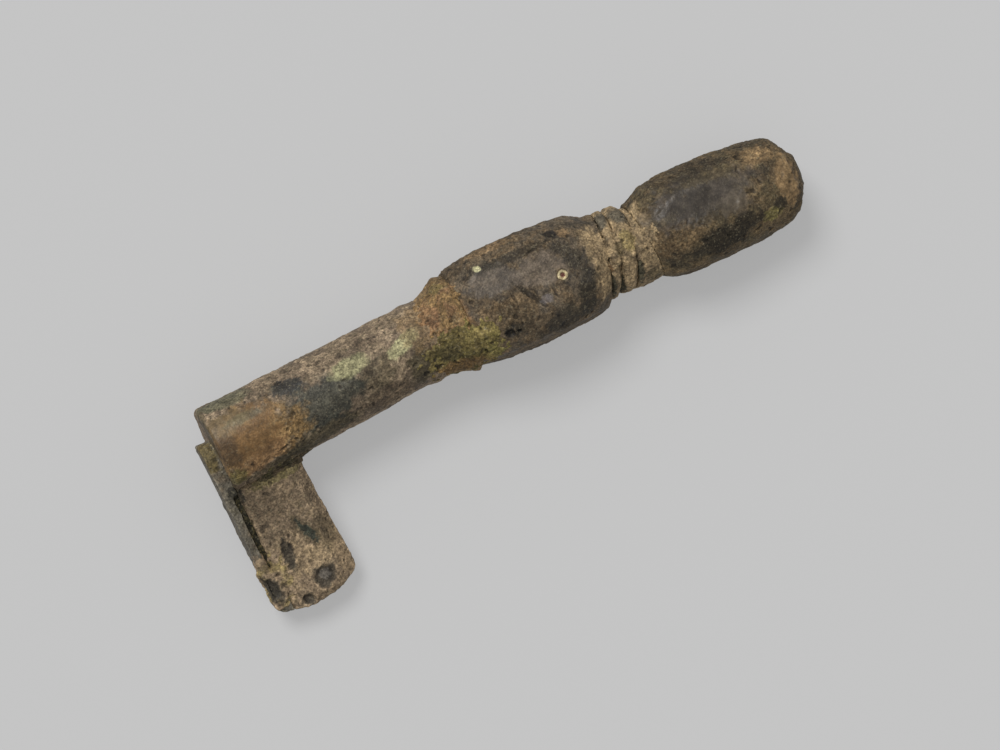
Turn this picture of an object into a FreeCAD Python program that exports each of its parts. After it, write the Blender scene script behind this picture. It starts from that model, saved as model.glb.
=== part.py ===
import FreeCAD, Part
import math
import os

# An ancient cast bronze key with a flat bit at one end and a turned and faceted handle.
# All sizes are in millimetres. The key is drawn straight along X, from the bit end of the
# shank to the knob, with the bit pointing along -Y, and is laid on the table at the end.

Vector = FreeCAD.Vector
Rotation = FreeCAD.Rotation
ORIGIN = Vector(0, 0, 0)
ALONG = Vector(1, 0, 0)
ACROSS = Vector(0, 1, 0)
UP = Vector(0, 0, 1)

# Shank, a slightly tapered round bar
shank_length = 28.0
shank_end_radius = 5.05
shank_neck_radius = 4.65
shank_edge_bevel = 0.3
lip_radius = 4.85
lip_width = 2.2
lip_inset = 0.6

# Lengths of the handle sections along the axis, from the neck to the end of the knob
collar_length = 3.8
grip_length = 17.4
bead_widths = (1.6, 2.15)
waist_ring_width = 1.95
knob_length = 19.8

# Tang, the thinner end of the shank on which the handle sections are threaded
tang_radius = 2.0
tang_clearance = 0.05
tang_in_knob = 6.0

# Slight bend of the handle toward the bit, this far inside the grip
bend_inset = 4.2
bend_deg = 4.0

# How far off square the seats of the beads and of the knob are cut
bead_askew_deg = 12.0
knob_askew_deg = -8.0

# Neck collar
collar_radius = 5.95
collar_land = 0.7
collar_seat_radius = 5.7

# Facets of the grip and the knob, four to each
facet_turn_deg = 22.0

# Baluster grip: its ridges lie on a turned pod, its facets on flatter arcs inside it
grip_swell_inset = 3.2
grip_swell_radius = 6.9
grip_crown_inset = 7.7
grip_ridge_radius = 7.35
grip_facet_distance = 6.05
grip_facet_end_distance = 5.25
grip_shoulder_inset = 2.4
grip_shoulder_radius = 6.4
grip_tail_radius = 4.9

# Bead rings, and the waist ring that sits a little off centre, toward the bit side
bead_radii = (5.05, 4.95)
bead_top_share = 0.4
groove_radius = 4.35
waist_ring_radius = 4.55
waist_ring_shift = 0.4

# Knob
knob_root_radius = 4.45
knob_flare_inset = 1.9
knob_flare_radius = 5.55
knob_shoulder_inset = 3.8
knob_shoulder_radius = 6.1
knob_crown_inset = 7.6
knob_ridge_radius = 6.3
knob_facet_distance = 5.72
knob_facet_end_distance = 5.0
knob_rim_inset = 2.9
knob_rim_radius = 5.2
knob_rim_round = 1.75

# Pin across the grip and the tang
pin_radius = 0.55
pin_clearance = 0.03
pin_inset = 5.55
pin_turn_deg = 15.0
pin_foot_depth = 1.6
pin_head_proud = 0.1

# Bit, a flat block with a bevelled inner edge and a curved tip
bit_thickness = 4.0
bit_reach = 21.0
bit_width_at_shank = 8.2
bit_width_at_tip = 8.75
bit_tip_crown_station = 4.4
bit_outer_corner_drop = 0.6
bit_inner_corner_drop = 0.8
bit_corner_round = 0.95
bit_root_fillet = 1.2
bit_bevel_at_shank = 1.3
bit_bevel_at_tip = 2.4
bit_bevel_land = 1.4
bit_edge_round = 0.45

# End plate of the bit, with a narrow slit between it and the block
plate_thickness = 0.95
plate_head_above_axis = 1.4
slit_width = 0.7
slit_length = 10.2
slit_gap_to_shank = 0.2

# Reach of cutting tools, past anything in the key
tool_reach = 12.0

# Steps of the search for the resting pose, and the facet size used to find the lowest points
rest_steps = 20
facet_tolerance = 0.02

# Stations along the axis, worked out from the lengths above
grip_seat = shank_length + collar_length
bend_station = grip_seat + bend_inset
grip_crown_station = grip_seat + grip_crown_inset
first_bead_seat = grip_seat + grip_length
second_bead_seat = first_bead_seat + bead_widths[0]
waist_seat = second_bead_seat + bead_widths[1]
bead_seats = (first_bead_seat, second_bead_seat, waist_seat)
knob_seat = waist_seat + waist_ring_width
pin_station = first_bead_seat - pin_inset
knob_crown_station = knob_seat + knob_crown_inset
knob_end_station = knob_seat + knob_length


def outline(start, *strokes):
    """Edges in the XZ plane. A stroke is an end point, or a middle and an end point of an arc."""
    edges = []
    here = Vector(start[0], 0, start[1])
    for stroke in strokes:
        points = [Vector(x, 0, z) for x, z in stroke]
        if len(points) == 1:
            edges.append(Part.LineSegment(here, points[0]).toShape())
        else:
            edges.append(Part.Arc(here, points[0], points[1]).toShape())
        here = points[-1]
    return edges


def turned(start, *strokes):
    """Solid of revolution about X, from an outline that starts and ends on the axis."""
    edges = outline(start, *strokes, [start])
    return Part.Face(Part.Wire(edges)).revolve(ORIGIN, ALONG, 360)


def on_handle(shape):
    """Turn a shape drawn along X by the bend of the handle."""
    bent = shape.copy()
    bent.rotate(Vector(bend_station, 0, 0), UP, -bend_deg)
    return bent


def seat_slab(left, right):
    """Block between two seats, each a station and an angle off square."""
    corners = []
    for (station, askew_deg), sides in ((left, (-1, 1)), (right, (1, -1))):
        for side in sides:
            y = side * tool_reach
            x = station + y * math.tan(math.radians(askew_deg))
            corners.append(Vector(x, y, -tool_reach))
    corners.append(corners[0])
    return Part.Face(Part.makePolygon(corners)).extrude(UP * 2 * tool_reach)


def faceted(solid, left, crown, right):
    """Cut four long facets, straight across and arched along the axis through three points."""
    edges = outline(
        left,
        [crown, right],
        [(right[0], -right[1])],
        [(crown[0], -crown[1]), (left[0], -left[1])],
        [left],
    )
    face = Part.Face(Part.Wire(edges))
    face.translate(-ACROSS * tool_reach)
    flat_pair = face.extrude(ACROSS * 2 * tool_reach)
    for turn_deg in (facet_turn_deg, facet_turn_deg + 90):
        cutter = flat_pair.copy()
        cutter.rotate(ORIGIN, ALONG, -turn_deg)
        solid = solid.common(cutter)
    return solid


def tang(radius):
    """Bent round bar from the end of the shank to inside the knob."""
    bend = Vector(bend_station, 0, 0)
    near = Part.makeCylinder(radius, bend_station - shank_length, Vector(shank_length, 0, 0), ALONG)
    elbow = Part.makeSphere(radius, bend)
    far_length = knob_seat + tang_in_knob - bend_station
    far = on_handle(Part.makeCylinder(radius, far_length, bend, ALONG))
    return near.fuse([elbow, far]).removeSplitter()


def tang_bore():
    """What the handle sections are bored with."""
    return tang(tang_radius + tang_clearance)


def pin_bar(radius, top):
    """Round bar across the handle axis, from its foot in the grip to a height over the axis."""
    foot = tang_radius + pin_foot_depth
    bar = Part.makeCylinder(radius, top + foot, Vector(pin_station, 0, -foot), UP)
    bar.rotate(ORIGIN, ALONG, -pin_turn_deg)
    return on_handle(bar)


def pin_hole():
    """What the tang and the grip are drilled with."""
    return pin_bar(pin_radius + pin_clearance, tool_reach)


def shank_bar():
    """Tapered bar with a bevelled end and a low lip before the neck."""
    lip_end = shank_length - lip_inset
    lip_start = lip_end - lip_width
    return turned(
        (0, 0),
        [(0, shank_end_radius - shank_edge_bevel)],
        [(shank_edge_bevel, shank_end_radius)],
        [(lip_start, shank_neck_radius)],
        [((lip_start + lip_end) / 2, lip_radius)],
        [(lip_end, shank_neck_radius)],
        [(shank_length, shank_neck_radius)],
        [(shank_length, 0)],
    )


def shank():
    """Shank with the tang that carries the handle, drilled for the pin."""
    body = shank_bar().fuse(tang(tang_radius)).removeSplitter()
    return body.cut(pin_hole())


def grip_collar():
    """Flared neck collar between the shoulder of the shank and the grip."""
    land_start = grip_seat - collar_land
    flare_station = (shank_length + land_start) / 2
    flare_radius = shank_neck_radius + (collar_radius - shank_neck_radius) / 3
    body = turned(
        (shank_length, 0),
        [(shank_length, shank_neck_radius)],
        [(flare_station, flare_radius)],
        [(land_start, collar_radius)],
        [(grip_seat, collar_seat_radius)],
        [(grip_seat + collar_land, collar_seat_radius)],
        [(grip_seat + collar_land, 0)],
    )
    slab = on_handle(seat_slab((0, 0), (grip_seat, 0)))
    return body.common(slab).cut(tang_bore())


def grip_pod():
    """Faceted pod of the grip, trimmed to its seats and not yet bored."""
    shoulder_station = first_bead_seat - grip_shoulder_inset
    tail_station = first_bead_seat + tool_reach * math.tan(math.radians(bead_askew_deg))
    pod = turned(
        (grip_seat, 0),
        [(grip_seat, collar_seat_radius)],
        [(grip_seat + grip_swell_inset, grip_swell_radius)],
        [(grip_crown_station, grip_ridge_radius)],
        [(shoulder_station, grip_shoulder_radius)],
        [(first_bead_seat, grip_tail_radius)],
        [(tail_station, grip_tail_radius)],
        [(tail_station, 0)],
    )
    pod = faceted(
        pod,
        (grip_seat - tool_reach / 4, grip_facet_end_distance),
        (grip_crown_station, grip_facet_distance),
        (tail_station, grip_facet_end_distance),
    )
    pod = pod.common(seat_slab((grip_seat, 0), (first_bead_seat, bead_askew_deg)))
    return on_handle(pod)


def baluster_grip():
    """Grip bored for the tang and drilled for the pin."""
    return grip_pod().cut(tang_bore()).cut(pin_hole())


def grip_pin():
    """Pin that ends just proud of the upper facet of the grip."""
    ray = Part.LineSegment(Vector(pin_station, 0, 0), Vector(pin_station, 0, tool_reach)).toShape()
    ray.rotate(ORIGIN, ALONG, -pin_turn_deg)
    grip_height = on_handle(ray).common(grip_pod()).Length
    return pin_bar(pin_radius, grip_height + pin_head_proud)


def bead_ring(index):
    """Worn bead between two seats, cut askew to the handle."""
    left = bead_seats[index]
    right = bead_seats[index + 1]
    middle = (left + right) / 2
    half_width = (right - left) / 2 * math.cos(math.radians(bead_askew_deg))
    half_top = half_width * bead_top_share
    ring = turned(
        (middle - half_width, 0),
        [(middle - half_width, groove_radius)],
        [(middle - half_top, bead_radii[index])],
        [(middle + half_top, bead_radii[index])],
        [(middle + half_width, groove_radius)],
        [(middle + half_width, 0)],
    )
    ring.rotate(Vector(middle, 0, 0), UP, -bead_askew_deg)
    return on_handle(ring).cut(tang_bore())


def waist_ring():
    """Wedge-shaped ring between the beads and the knob, off centre toward the bit side."""
    left = waist_seat - tool_reach * math.tan(math.radians(bead_askew_deg))
    right = knob_seat - tool_reach * math.tan(math.radians(knob_askew_deg))
    ring = turned(
        (left, 0),
        [(left, groove_radius)],
        [(waist_seat, waist_ring_radius)],
        [(knob_seat, waist_ring_radius)],
        [(right, groove_radius)],
        [(right, 0)],
    )
    ring.translate(-ACROSS * waist_ring_shift)
    ring = ring.common(seat_slab((waist_seat, bead_askew_deg), (knob_seat, knob_askew_deg)))
    return on_handle(ring).cut(tang_bore())


def knob_finial():
    """Faceted barrel with a blunt domed end and a blind socket for the tang."""
    root = knob_seat - knob_root_radius
    diagonal = math.sqrt(0.5)
    rim_station = knob_end_station - knob_rim_inset
    corner_station = rim_station + knob_rim_round
    corner_radius = knob_rim_radius - knob_rim_round
    dome_rise = knob_end_station - corner_station
    dome_radius = (corner_radius ** 2 + dome_rise ** 2) / (2 * dome_rise)
    dome_half_angle = math.asin(corner_radius / dome_radius) / 2
    dome_middle = (
        knob_end_station - dome_radius * (1 - math.cos(dome_half_angle)),
        dome_radius * math.sin(dome_half_angle),
    )
    corner_middle = (
        rim_station + diagonal * knob_rim_round,
        knob_rim_radius - (1 - diagonal) * knob_rim_round,
    )
    barrel = turned(
        (root, 0),
        [(root, knob_root_radius)],
        [(knob_seat, knob_root_radius)],
        [(knob_seat + knob_flare_inset, knob_flare_radius)],
        [(knob_seat + knob_shoulder_inset, knob_shoulder_radius)],
        [(knob_crown_station, knob_ridge_radius)],
        [(rim_station, knob_rim_radius)],
        [corner_middle],
        [(corner_station, corner_radius)],
        [dome_middle, (knob_end_station, 0)],
    )
    barrel = faceted(
        barrel,
        (root, knob_facet_end_distance),
        (knob_crown_station, knob_facet_distance),
        (knob_end_station + knob_rim_round, knob_facet_end_distance),
    )
    barrel = barrel.common(seat_slab((knob_seat, knob_askew_deg), (knob_end_station + tool_reach, 0)))
    return on_handle(barrel).cut(tang_bore())


def plate_face():
    """Station of the outer face of the end plate."""
    return -(plate_thickness + slit_width)


def bit_blank():
    """Whole bit with its end plate, drawn in plan and extruded through its thickness."""
    diagonal = math.sqrt(0.5)
    outer = plate_face()
    inner = bit_width_at_tip
    outer_drop = bit_reach - bit_outer_corner_drop
    inner_drop = bit_reach - bit_inner_corner_drop
    round_mid = (1 - diagonal) * bit_corner_round
    root_end = shank_end_radius + bit_root_fillet
    root_mid = (1 - diagonal) * bit_root_fillet
    wide_root = bit_width_at_shank + bit_root_fillet
    edges = outline(
        (outer, plate_head_above_axis),
        [(outer, -(outer_drop - bit_corner_round))],
        [(outer + round_mid, -(outer_drop - round_mid)), (outer + bit_corner_round, -outer_drop)],
        [(bit_tip_crown_station, -bit_reach), (inner - bit_corner_round, -inner_drop)],
        [(inner - round_mid, -(inner_drop - round_mid)), (inner, -(inner_drop - bit_corner_round))],
        [(bit_width_at_shank, -root_end)],
        [(bit_width_at_shank + root_mid, -(shank_end_radius + root_mid)), (wide_root, -shank_end_radius)],
        [(wide_root, plate_head_above_axis)],
        [(outer, plate_head_above_axis)],
    )
    face = Part.Face(Part.Wire(edges))
    face.rotate(ORIGIN, ALONG, -90)
    face.translate(-UP * bit_thickness / 2)
    return face.extrude(UP * bit_thickness)


def bevel_wedge():
    """Wedge that takes off the upper inner edge of the bit, wider toward the tip."""
    triangles = []
    for y, edge, width in (
        (0, bit_width_at_shank, bit_bevel_at_shank),
        (-bit_reach, bit_width_at_tip, bit_bevel_at_tip),
    ):
        high = bit_thickness / 2
        drop = high - bit_bevel_land / 2
        top = Vector(edge - width, y, high)
        bottom = Vector(edge + width, y, high - 2 * drop)
        outside = Vector(edge + width, y, 2 * high)
        triangles.append(Part.makePolygon([top, bottom, outside, top]))
    return Part.makeLoft(triangles, True, True)


def rounded(solid, radius, is_wanted):
    """Round the edges whose middle passes a test."""
    edges = []
    for edge in solid.Edges:
        middle = edge.valueAt((edge.FirstParameter + edge.LastParameter) / 2)
        if is_wanted(middle):
            edges.append(edge)
    return solid.makeFillet(radius, edges)


def bit_block():
    """Block of the bit, saddled on the shank and bevelled along its inner edge."""
    side = Part.makeBox(2 * tool_reach, 4 * tool_reach, 2 * tool_reach, Vector(0, -3 * tool_reach, -tool_reach))
    block = bit_blank().common(side)
    upper_wedge = bevel_wedge()
    lower_wedge = upper_wedge.mirror(ORIGIN, UP)
    block = block.cut(upper_wedge).cut(lower_wedge)
    half = bit_thickness / 2

    def on_outer_edge(point):
        return abs(point.x) < 0.01 and abs(abs(point.z) - half) < 0.01

    block = rounded(block, bit_edge_round, on_outer_edge)
    return block.cut(shank_bar())


def bit_end_plate():
    """Thin plate with a thick head on the end of the shank and a thick foot on the block."""
    outer = plate_face()
    half = bit_thickness / 2
    side = Part.makeBox(-outer, 4 * tool_reach, 2 * tool_reach, Vector(outer, -3 * tool_reach, -tool_reach))
    head_center = Vector(outer, plate_head_above_axis - half, 0)
    head = Part.makeCylinder(half, -outer, head_center, ALONG)
    tail = Part.makeBox(-outer, bit_reach, bit_thickness, head_center - ACROSS * bit_reach - UP * half)
    plate = bit_blank().common(side).common(head.fuse(tail))
    slit_top = -(shank_end_radius + slit_gap_to_shank)
    slit_corner = Vector(-slit_width, slit_top - slit_length, -bit_thickness)
    return plate.cut(Part.makeBox(slit_width, slit_length, 2 * bit_thickness, slit_corner))


def lowest(points, turn):
    """Height of the lowest of some points after a turn about the origin."""
    return min(turn.multVec(point).z for point in points)


def turned_to_rest(pieces):
    """Turn that lays the grip, the knob and the tip of the bit on a flat table."""
    grip = pieces["baluster_grip"].tessellate(facet_tolerance)[0]
    knob = pieces["knob_finial"].tessellate(facet_tolerance)[0]
    bit = pieces["bit_block"].tessellate(facet_tolerance)[0]
    pitch_deg = 0.0
    roll_deg = 0.0
    for _ in range(rest_steps):
        turn = Rotation(ACROSS, pitch_deg).multiply(Rotation(ALONG, roll_deg))
        grip_height = lowest(grip, turn)
        knob_rise = lowest(knob, turn) - grip_height
        bit_rise = lowest(bit, turn) - grip_height
        pitch_deg += math.degrees(math.atan2(knob_rise, knob_crown_station - grip_crown_station))
        roll_deg += math.degrees(math.atan2(bit_rise, bit_reach))
    return FreeCAD.Placement(ORIGIN, turn)


def place_all(pieces, placement):
    """The pieces moved together by one placement."""
    moved = {}
    for name, shape in pieces.items():
        moved[name] = shape.copy()
        moved[name].Placement = placement.multiply(moved[name].Placement)
    return moved


def centering(pieces):
    """Shift that puts the middle of the bottom of the whole key at the origin."""
    points = []
    for shape in pieces.values():
        points.extend(shape.tessellate(facet_tolerance)[0])
    middle_x = (min(p.x for p in points) + max(p.x for p in points)) / 2
    middle_y = (min(p.y for p in points) + max(p.y for p in points)) / 2
    bottom = min(p.z for p in points)
    return FreeCAD.Placement(Vector(-middle_x, -middle_y, -bottom), Rotation())


def key():
    """Every piece of the key, named and lying at rest."""
    pieces = {
        "shank": shank(),
        "bit_block": bit_block(),
        "bit_end_plate": bit_end_plate(),
        "grip_collar": grip_collar(),
        "baluster_grip": baluster_grip(),
        "grip_pin": grip_pin(),
        "bead_ring_1": bead_ring(0),
        "bead_ring_2": bead_ring(1),
        "waist_ring": waist_ring(),
        "knob_finial": knob_finial(),
    }
    pieces = place_all(pieces, turned_to_rest(pieces))
    return place_all(pieces, centering(pieces))


os.makedirs("parts", exist_ok=True)
for name, shape in key().items():
    shape.exportStep(os.path.join("parts", name + ".step"))
    box = shape.BoundBox
    print(name, "solids", len(shape.Solids), "valid", shape.isValid(), "mm3 %.1f" % shape.Volume,
          "z %.2f to %.2f" % (box.ZMin, box.ZMax))
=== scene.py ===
import math
import bpy
from mathutils import Matrix, Vector, noise
from mathutils.bvhtree import BVHTree


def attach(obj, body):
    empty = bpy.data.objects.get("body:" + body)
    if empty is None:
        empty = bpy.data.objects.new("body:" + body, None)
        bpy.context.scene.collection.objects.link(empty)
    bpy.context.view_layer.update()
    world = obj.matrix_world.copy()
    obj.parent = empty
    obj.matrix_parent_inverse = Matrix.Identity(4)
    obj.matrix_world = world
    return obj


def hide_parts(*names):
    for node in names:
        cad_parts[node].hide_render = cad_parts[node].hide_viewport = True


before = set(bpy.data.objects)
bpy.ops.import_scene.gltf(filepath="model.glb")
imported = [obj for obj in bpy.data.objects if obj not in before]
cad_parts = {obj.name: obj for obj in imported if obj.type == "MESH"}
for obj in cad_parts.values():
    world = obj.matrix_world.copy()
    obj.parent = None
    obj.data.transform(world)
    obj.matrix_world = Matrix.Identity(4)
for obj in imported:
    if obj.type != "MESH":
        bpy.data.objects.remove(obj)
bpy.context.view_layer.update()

scene = bpy.context.scene
MM = 0.001

# Camera
# A long lens looks down on the key, so that the shank runs up from the lower left. Marks
# below are placed by their pixels in this view, which is 1000 wide and 750 high.
view_width = 1000
view_height = 750
lens_pixels = 5000
sensor_width = 36
view_target = Vector((-3.36, -0.3, 6.0)) * MM
view_distance = 571.9 * MM
lean_along = math.radians(8.0)
lean_across = math.radians(-4.0)
view_roll = math.radians(-27.32)
pixel_size = view_distance / lens_pixels

view_back = Vector((
    -math.sin(lean_along),
    -math.sin(lean_across) * math.cos(lean_along),
    math.cos(lean_across) * math.cos(lean_along),
))
level_right = Vector((0, 1, 0)).cross(view_back).normalized()
level_turn = Matrix((level_right, view_back.cross(level_right), view_back)).transposed()
view_turn = level_turn @ Matrix.Rotation(view_roll, 3, "Z")
view_point = view_target + view_back * view_distance
camera_data = bpy.data.cameras.new("view")
camera_data.sensor_width = sensor_width
camera_data.lens = lens_pixels / view_width * sensor_width
camera = bpy.data.objects.new("view", camera_data)
camera.matrix_world = Matrix.Translation(view_point) @ view_turn.to_4x4()
scene.collection.objects.link(camera)
scene.camera = camera


# Shank
# The round bar of the key, cast in bronze with the tang that carries the handle. It is
# pinkish brown, with a waxy ochre end at the bit that carries a painted highlight, and a long
# dark slate stain on top.

# Skins of the CAD solids, which tell where a ray meets them.
skin_of = {}
for name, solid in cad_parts.items():
    corners = [vertex.co for vertex in solid.data.vertices]
    faces = [list(face.vertices) for face in solid.data.polygons]
    skin_of[name] = BVHTree.FromPolygons(corners, faces)


def colour(red, green, blue):
    """A colour written in 0 to 255 steps, turned by the sRGB curve into what a shader takes."""
    linear = []
    for step in (red, green, blue):
        share = step / 255
        linear.append(share / 12.92 if share <= 0.04045 else ((share + 0.055) / 1.055) ** 2.4)
    return (*linear, 1.0)


def seen_at(node, pixel):
    """Point on a CAD solid that the view shows at a pixel, or the point nearest to it."""
    right = (pixel[0] - view_width / 2) / lens_pixels
    up = (view_height / 2 - pixel[1]) / lens_pixels
    ray = (view_turn @ Vector((right, up, -1))).normalized()
    point = skin_of[node].ray_cast(view_point, ray)[0]
    if point is None:
        point = skin_of[node].find_nearest(view_point + ray * view_distance)[0]
    return point


def mark(node, pixel, half_size, turn_deg=0.0, depth=1.8):
    """Place, turn and reach of a stain or a dent that the view shows at a pixel."""
    turn = view_turn @ Matrix.Rotation(math.radians(turn_deg), 3, "Z")
    reach = Vector((half_size[0] * pixel_size, half_size[1] * pixel_size, depth * MM))
    return seen_at(node, pixel), turn, reach


def away(place, point):
    """Distance of a point from a mark, 0 at its middle and 1 at its edge."""
    middle, turn, reach = place
    offset = turn.transposed() @ (point - middle)
    return Vector((offset.x / reach.x, offset.y / reach.y, offset.z / reach.z)).length


def ease(low, high, value):
    """0 at low, 1 at high and a soft step between."""
    share = min(max((value - low) / (high - low), 0.0), 1.0)
    return share * share * (3 - 2 * share)


# Reach in millimetres: of a ray's start off the skin, of a neighbour, and of welded corners.
skin_gap = 0.03
contact_reach = 0.33
weld_reach = 0.001


def lies_against(point, normal):
    """True where another face of the key lies within a third of a millimetre."""
    start = point + normal * skin_gap * MM
    for skin in skin_of.values():
        if skin.ray_cast(start, normal, contact_reach * MM)[0] is not None:
            return True
    return False


def joined_copy(name, sources, grid):
    """Closed and evenly meshed copy of some objects as one object, in their place."""
    bpy.ops.object.select_all(action="DESELECT")
    for source in sources:
        source.select_set(True)
    bpy.context.view_layer.objects.active = sources[0]
    bpy.ops.object.duplicate()
    if len(sources) > 1:
        bpy.ops.object.join()
    piece = bpy.context.object
    piece.name = name
    piece.data.materials.clear()
    bpy.ops.object.mode_set(mode="EDIT")
    bpy.ops.mesh.select_all(action="SELECT")
    bpy.ops.mesh.remove_doubles(threshold=weld_reach * MM)
    bpy.ops.mesh.normals_make_consistent(inside=False)
    bpy.ops.object.mode_set(mode="OBJECT")
    even = piece.modifiers.new("even_mesh", "REMESH")
    even.mode = "VOXEL"
    even.voxel_size = grid * MM
    bpy.ops.object.modifier_apply(modifier=even.name)
    return piece


def soften_skin(piece, rounds):
    """Rounds of smoothing, on the skin in the group called open."""
    soft = piece.modifiers.new("worn_edges", "SMOOTH")
    soft.vertex_group = "open"
    soft.factor = 0.5
    soft.iterations = rounds
    bpy.ops.object.modifier_apply(modifier=soft.name)
    bpy.ops.object.shade_smooth()


def worn_copy(node, grid=0.13, soften=3):
    """Copy of a CAD solid with worn edges. Skin that lies against a neighbour is left alone."""
    piece = joined_copy("worn_" + node, [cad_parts[node]], grid)
    is_open = piece.vertex_groups.new(name="open")
    for vertex in piece.data.vertices:
        if not lies_against(vertex.co, vertex.normal):
            is_open.add([vertex.index], 1.0, "REPLACE")
    soften_skin(piece, soften)
    return piece


def lumps(point, size, shift=Vector()):
    """Noise from about -1 to 1, with lumps of a size in millimetres."""
    return noise.noise(point / MM / size + shift)


# Lumps of worn skin, with sizes in millimetres and shares of the height they are used at.
wave_size = 4.2
ripple_size = 1.9
ripple_share = 0.5
cover_size = 2.7
cover_detail_size = 0.9
cover_detail_share = 0.6
crust_lump_size = 0.6
crust_lump_share = 0.6
crust_least = 0.6
pit_size = 0.75
pit_shift = Vector((7, 3, 5))
grain_size = 0.45
fine_grain_size = 0.27
fine_grain_share = 0.7
ragged_size = 0.7
ragged_share = 0.3

# Where crust and pits start and end in their noise, and how they change grain and pits.
cover_range = 1.4
cover_edge = 0.25
pit_edges = (0.42, 0.62)
bare_grain = 0.35
crumbly_grain = 1.2
bare_pit = 0.35
crusted_pit = 0.65

# Where marks start and end, from 0 at their middle to 1 at their edge.
calm_edges = (1.25, 0.65)
calm_share = 0.88
crumbly_edges = (1.2, 0.6)
dent_edges = (1.0, 0.3)
rim_inside = (0.8, 1.1)
rim_outside = (1.6, 1.2)
rim_share = 0.3


def corrode(
    piece, plump=0.0, swell=0.09, grain=0.05, crust=0.1, crust_share=0.5, pit=0.15,
    dents=(), calm=(), crumbly=(),
):
    """Uneven, grainy, crusted and pitted skin, wherever the piece lies open.

    Heights are in millimetres. Calm marks stay smooth, and crumbly marks get more grain.
    """
    crusted = piece.data.attributes.new("crust", "FLOAT", "POINT")
    pitted = piece.data.attributes.new("pit", "FLOAT", "POINT")
    normals = [vertex.normal.copy() for vertex in piece.data.vertices]
    crust_level = (0.5 - crust_share) * cover_range
    for vertex, normal in zip(piece.data.vertices, normals):
        if len(vertex.groups) == 0:
            continue
        point = vertex.co.copy()
        rough = 1.0
        for place in calm:
            rough *= 1 - calm_share * ease(*calm_edges, away(place, point))
        lumpy = 0.0
        for place in crumbly:
            lumpy = max(lumpy, ease(*crumbly_edges, away(place, point)))
        cover = lumps(point, cover_size) + cover_detail_share * lumps(point, cover_detail_size)
        cover = ease(crust_level - cover_edge, crust_level + cover_edge, cover) * rough
        hole = ease(*pit_edges, lumps(point, pit_size, pit_shift)) * rough
        waves = lumps(point, wave_size) + ripple_share * lumps(point, ripple_size)
        height = plump + swell * waves
        height += crust * cover * (crust_least + crust_lump_share * lumps(point, crust_lump_size))
        fine = lumps(point, grain_size) + fine_grain_share * lumps(point, fine_grain_size)
        height += grain * (bare_grain + cover + crumbly_grain * lumpy) * rough * fine
        height -= pit * hole * (bare_pit + crusted_pit * cover)
        for place, depth in dents:
            span = away(place, point) + ragged_share * lumps(point, ragged_size)
            height -= depth * ease(*dent_edges, span)
            height += rim_share * depth * ease(*rim_inside, span) * ease(*rim_outside, span)
        vertex.co = point + normal * height * MM
        vertex.co.z = max(vertex.co.z, 0.0)
        crusted.data[vertex.index].value = max(cover, lumpy)
        pitted.data[vertex.index].value = hole
    piece.data.update()


# Values of the finish. Clouds run from 0 to 1 and lie mostly inside cloud_range.
cloud_range = (0.3, 0.7)
cloud_spread = 0.42
mottle_edge = 0.09
mesh_range = (0.1, 0.9)
crust_roughness = 0.85
small_mark = 1.0
small_edge_size = 0.5
wide_edge_size = 1.1
speck = 0.32
metal_share = 0.1
gloss = 0.28
relief_depth = 0.07


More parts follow.
